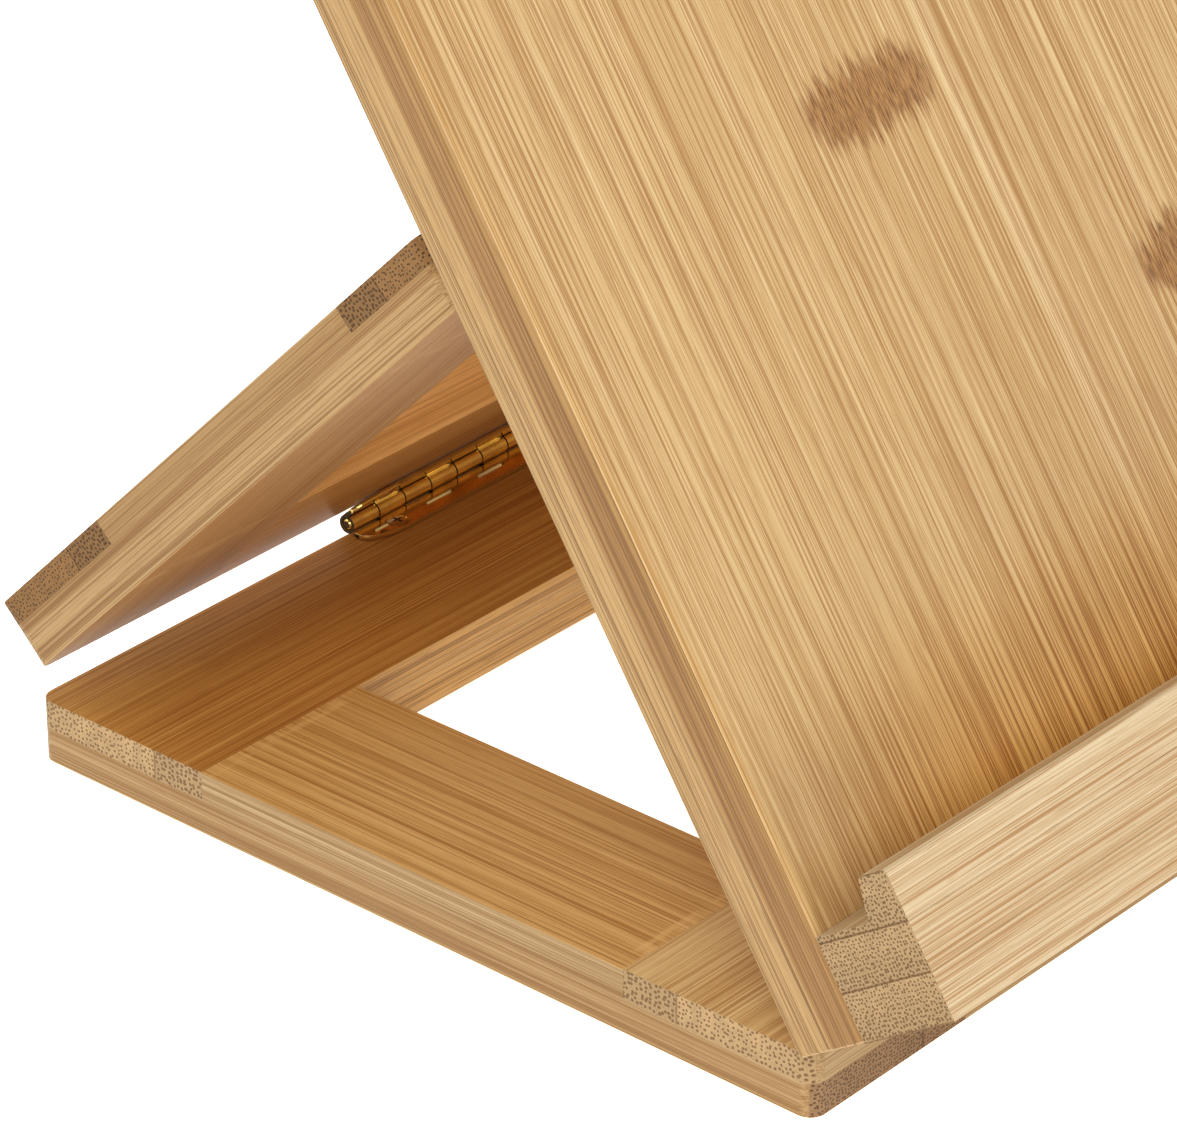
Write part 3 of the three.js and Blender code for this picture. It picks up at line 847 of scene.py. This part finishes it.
def make_pin(node, pin):
    """The pin, with its ends chamfered."""
    tip = PIN_RADIUS - PIN_EASE
    profile = [
        (0.0, -HINGE_HALF), (tip, -HINGE_HALF), (PIN_RADIUS, PIN_EASE - HINGE_HALF),
        (PIN_RADIUS, HINGE_HALF - PIN_EASE), (tip, HINGE_HALF), (0.0, HINGE_HALF),
    ]
    rod = lathe(profile)
    rod.transform(Matrix.Rotation(math.pi / 2, 4, "Y"))
    piece = mesh_object(node + "_visual", in_metres(rod))
    finish_metal(piece, node, "base", Matrix.Translation(pin), highlit_brass)


def make_hinge(name, hinged, base_turn, leaf_name, leaf_turn):
    """One strip hinge: the pin, and a leaf with its four screws on the base and on the hinged body."""
    on_base = Matrix.Translation(PINS[hinged]) @ base_turn
    on_hinged = FLAT[hinged] @ leaf_turn
    leaves = ((name + "_base", "base", on_base, 1), (name + leaf_name, hinged, on_hinged, 0))
    for prefix, body, matrix, first_knuckle in leaves:
        make_leaf(prefix + "_leaf", body, matrix, first_knuckle)
        for number, x in enumerate(SCREW_PLACES, 1):
            make_screw(f"{prefix}_screw_{number}", body, matrix, x)
    make_pin(name + "_pin", PINS[hinged])


half_turns = {axis: Matrix.Rotation(math.pi, 4, axis) for axis in "XYZ"}
make_hinge("front_hinge", "reading_board", Matrix.Identity(4), "_board", half_turns["Y"])
make_hinge("rear_hinge", "support", half_turns["Z"], "_support", half_turns["X"])


# ---------------------------------------------------------------- set

def soft_light(name, place, size, power):
    """A rectangular lamp that points at the stand."""
    lamp = bpy.data.lights.new(name, "AREA")
    lamp.shape = "RECTANGLE"
    lamp.size, lamp.size_y = size
    lamp.energy = power
    light = bpy.data.objects.new(name, lamp)
    light.location = place
    light.rotation_euler = (LIT_POINT - Vector(place)).to_track_quat("-Z", "Y").to_euler()
    bpy.context.scene.collection.objects.link(light)


def make_floor():
    """A pale floor that glows a little, just under the base."""
    shape = bmesh.new()
    bmesh.ops.create_grid(shape, x_segments=1, y_segments=1, size=6.0)
    floor = mesh_object("floor", shape)
    floor.location.z = -0.2 * MM
    graph = Graph("pale_floor")
    cloud = graph.noise(graph.node("ShaderNodeTexCoord").outputs["Object"], 3.0)
    paint = graph.mix(cloud, (0.90, 0.90, 0.90), (0.94, 0.94, 0.94))
    floor.data.materials.append(graph.finish(
        Base_Color=paint, Roughness=0.8, Emission_Color=(1.0, 1.0, 1.0, 1.0), Emission_Strength=0.75,
    ))


def make_world():
    """Even white light from all sides."""
    world = bpy.data.worlds.new("studio")
    world.use_nodes = True
    background = world.node_tree.nodes["Background"]
    background.inputs["Color"].default_value = (1.0, 1.0, 1.0, 1.0)
    background.inputs["Strength"].default_value = 0.6
    bpy.context.scene.world = world


# Where the lamps point. The camera stands at the reader's left, about a metre away, with a long lens.
LIT_POINT = Vector((0.0, 0.0, 0.08))
CAMERA_PLACE = Vector((-0.7587, -0.5509, 0.5172))
CAMERA_AZIMUTH = math.radians(-49.03)
CAMERA_DROP = math.radians(28.605)
CAMERA_LENS = 179.7


def make_camera():
    """The camera, which sees the stand as the photo does."""
    lens = bpy.data.cameras.new("camera")
    lens.lens = CAMERA_LENS
    lens.sensor_width = 36.0
    lens.clip_start = 0.05
    camera = bpy.data.objects.new("camera", lens)
    camera.location = CAMERA_PLACE
    camera.rotation_euler = (math.pi / 2 - CAMERA_DROP, 0.0, CAMERA_AZIMUTH)
    bpy.context.scene.collection.objects.link(camera)
    bpy.context.scene.camera = camera


make_floor()
make_world()
soft_light("key_light", (-1.5, -0.9, 1.25), (1.4, 1.4), 22.0)
soft_light("fill_light", (1.3, -1.4, 1.2), (1.2, 1.2), 8.0)
soft_light("back_light", (-0.6, 1.5, 1.3), (1.4, 0.8), 6.0)
make_camera()
bpy.context.scene.view_settings.view_transform = "Standard"
bpy.context.scene.view_settings.gamma = 0.85
